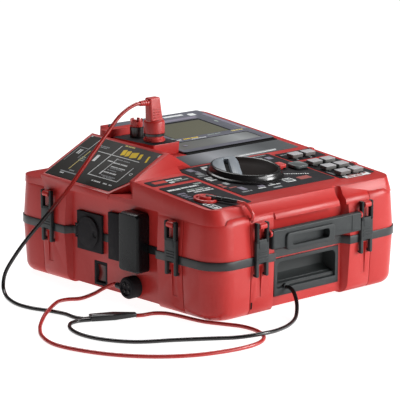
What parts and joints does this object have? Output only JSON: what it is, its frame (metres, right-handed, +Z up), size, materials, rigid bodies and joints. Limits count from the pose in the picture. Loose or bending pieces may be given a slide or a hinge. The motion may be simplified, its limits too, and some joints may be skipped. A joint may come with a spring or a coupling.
{
  "type": "portable appliance tester",
  "caption": "Instrument console with display, keys and rotary dial in a latched two part carrying case, with plugged test leads",
  "frame": {"origin": "centre of the case's bounding box in plan, without the leads, on the table under the feet", "axes": "+X to the right along the handle side, +Y from the handle side to the rear, +Z up"},
  "size_m": [0.4509, 0.4191, 0.201],
  "materials": {
    "case_red": "satin",
    "trim_slate": "matt",
    "panel_black": "satin",
    "panel_grey": "satin",
    "bezel_grey": "matt",
    "key_grey": "matt",
    "button_red": "gloss",
    "window_olive": "gloss",
    "dial_black": "gloss",
    "plug_red": "satin",
    "black_rubber": "matt",
    "red_rubber": "satin",
    "steel": "brushed",
    "board_green": "satin",
    "battery_case": "satin"
  },
  "bodies": {
    "case": {"lower_shell": "case_red", "upper_shell": "case_red", "seal_band": "black_rubber", "lower_corner_guards": "case_red", "upper_corner_guards": "case_red", "feet": "black_rubber", "rear_hooks": "black_rubber", "hand_pocket": "trim_slate", "hinge_pins": "steel", "latch_pins": "steel", "dial_panel": "panel_black", "jack_panel": "panel_black", "key_panel": "panel_black", "function_strip": "panel_grey", "display_bezel": "bezel_grey", "display_window": "window_olive", "lower_window": "panel_black", "label_plate": "panel_black", "rotary_switch": "panel_black", "circuit_board": "board_green", "battery_pack": "battery_case", "transformer": "steel", "terminal_block": "panel_black", "test_socket": "dial_black", "socket_crown": "button_red", "lead_socket": "button_red", "lead_plug": "plug_red", "ring_jack": "button_red", "ring_plug": "button_red", "mains_socket": "panel_black", "slim_cover": "panel_black", "adapter_box": "panel_black", "rocker_frame": "panel_black", "round_plug": "panel_black", "lead_joint": "black_rubber", "black_lead": "black_rubber", "red_lead": "red_rubber", "pocket_lead": "black_rubber", "short_lead": "red_rubber"},
    "handle_bail": {"handle": "trim_slate"},
    "dial_knob": {"dial": "dial_black", "dial_shaft": "steel"},
    "socket_lid": {"mains_lid": "panel_black"},
    "power_rocker": {"rocker": "button_red"},
    "latch_front_left_body": {"latch_front_left": "trim_slate"},
    "latch_front_right_body": {"latch_front_right": "trim_slate"},
    "latch_left_front_body": {"latch_left_front": "trim_slate"},
    "latch_left_rear_body": {"latch_left_rear": "trim_slate"},
    "latch_right_front_body": {"latch_right_front": "trim_slate"},
    "latch_right_rear_body": {"latch_right_rear": "trim_slate"},
    "key_1_body": {"key_1": "key_grey"},
    "key_2_body": {"key_2": "key_grey"},
    "key_3_body": {"key_3": "key_grey"},
    "key_4_body": {"key_4": "key_grey"},
    "key_5_body": {"key_5": "key_grey"},
    "key_6_body": {"key_6": "key_grey"},
    "key_7_body": {"key_7": "key_grey"},
    "key_8_body": {"key_8": "key_grey"},
    "test_button_body": {"test_button": "button_red"},
    "pad_button_body": {"pad_button": "trim_slate"}
  },
  "joints": [
    {"name": "handle_hinge", "type": "hinge", "parent": "case", "child": "handle_bail", "pos_m": [0, -0.1715, 0.089], "axis": [-1, 0, 0], "range_deg": [0, 85]},
    {"name": "dial_turn", "type": "hinge", "parent": "case", "child": "dial_knob", "pos_m": [-0.008, -0.071, 0.12825], "axis": [0, -0.103, 0.9947], "range_deg": [-150, 150]},
    {"name": "socket_lid_hinge", "type": "hinge", "parent": "case", "child": "socket_lid", "pos_m": [-0.1362, 0.0599, 0.0645], "axis": [0, 0, -1], "range_deg": [0, 100], "stiffness_Nm_per_rad": 0.004, "springref_deg": -17.19},
    {"name": "rocker_tilt", "type": "hinge", "parent": "case", "child": "power_rocker", "pos_m": [-0.125, 0.026, 0.0205], "axis": [0, 1, 0], "range_deg": [-8, 8]},
    {"name": "latch_front_left_hinge", "type": "hinge", "parent": "case", "child": "latch_front_left_body", "pos_m": [-0.078, -0.1711, 0.099], "axis": [-1, 0, 0], "range_deg": [0, 75]},
    {"name": "latch_front_right_hinge", "type": "hinge", "parent": "case", "child": "latch_front_right_body", "pos_m": [0.078, -0.1711, 0.099], "axis": [-1, 0, 0], "range_deg": [0, 75]},
    {"name": "latch_left_front_hinge", "type": "hinge", "parent": "case", "child": "latch_left_front_body", "pos_m": [-0.1436, -0.103, 0.099], "axis": [0, 1, 0], "range_deg": [0, 75]},
    {"name": "latch_left_rear_hinge", "type": "hinge", "parent": "case", "child": "latch_left_rear_body", "pos_m": [-0.1436, 0.103, 0.099], "axis": [0, 1, 0], "range_deg": [0, 75]},
    {"name": "latch_right_front_hinge", "type": "hinge", "parent": "case", "child": "latch_right_front_body", "pos_m": [0.1436, -0.103, 0.099], "axis": [0, -1, 0], "range_deg": [0, 75]},
    {"name": "latch_right_rear_hinge", "type": "hinge", "parent": "case", "child": "latch_right_rear_body", "pos_m": [0.1436, 0.103, 0.099], "axis": [0, -1, 0], "range_deg": [0, 75]},
    {"name": "key_1_press", "type": "slide", "parent": "case", "child": "key_1_body", "axis": [0, 0.103, -0.9947], "range_m": [0, 0.0012], "stiffness_N_per_m": 400},
    {"name": "key_2_press", "type": "slide", "parent": "case", "child": "key_2_body", "axis": [0, 0.103, -0.9947], "range_m": [0, 0.0012], "stiffness_N_per_m": 400},
    {"name": "key_3_press", "type": "slide", "parent": "case", "child": "key_3_body", "axis": [0, 0.103, -0.9947], "range_m": [0, 0.0012], "stiffness_N_per_m": 400},
    {"name": "key_4_press", "type": "slide", "parent": "case", "child": "key_4_body", "axis": [0, 0.103, -0.9947], "range_m": [0, 0.0012], "stiffness_N_per_m": 400},
    {"name": "key_5_press", "type": "slide", "parent": "case", "child": "key_5_body", "axis": [0, 0.103, -0.9947], "range_m": [0, 0.0012], "stiffness_N_per_m": 400},
    {"name": "key_6_press", "type": "slide", "parent": "case", "child": "key_6_body", "axis": [0, 0.103, -0.9947], "range_m": [0, 0.0012], "stiffness_N_per_m": 400},
    {"name": "key_7_press", "type": "slide", "parent": "case", "child": "key_7_body", "axis": [0, 0.103, -0.9947], "range_m": [0, 0.0012], "stiffness_N_per_m": 400},
    {"name": "key_8_press", "type": "slide", "parent": "case", "child": "key_8_body", "axis": [0, 0.103, -0.9947], "range_m": [0, 0.0012], "stiffness_N_per_m": 400},
    {"name": "test_button_press", "type": "slide", "parent": "case", "child": "test_button_body", "axis": [0, 0.103, -0.9947], "range_m": [0, 0.0012], "stiffness_N_per_m": 400},
    {"name": "pad_button_press", "type": "slide", "parent": "case", "child": "pad_button_body", "axis": [0, 0.103, -0.9947], "range_m": [0, 0.0012], "stiffness_N_per_m": 400}
  ]
}
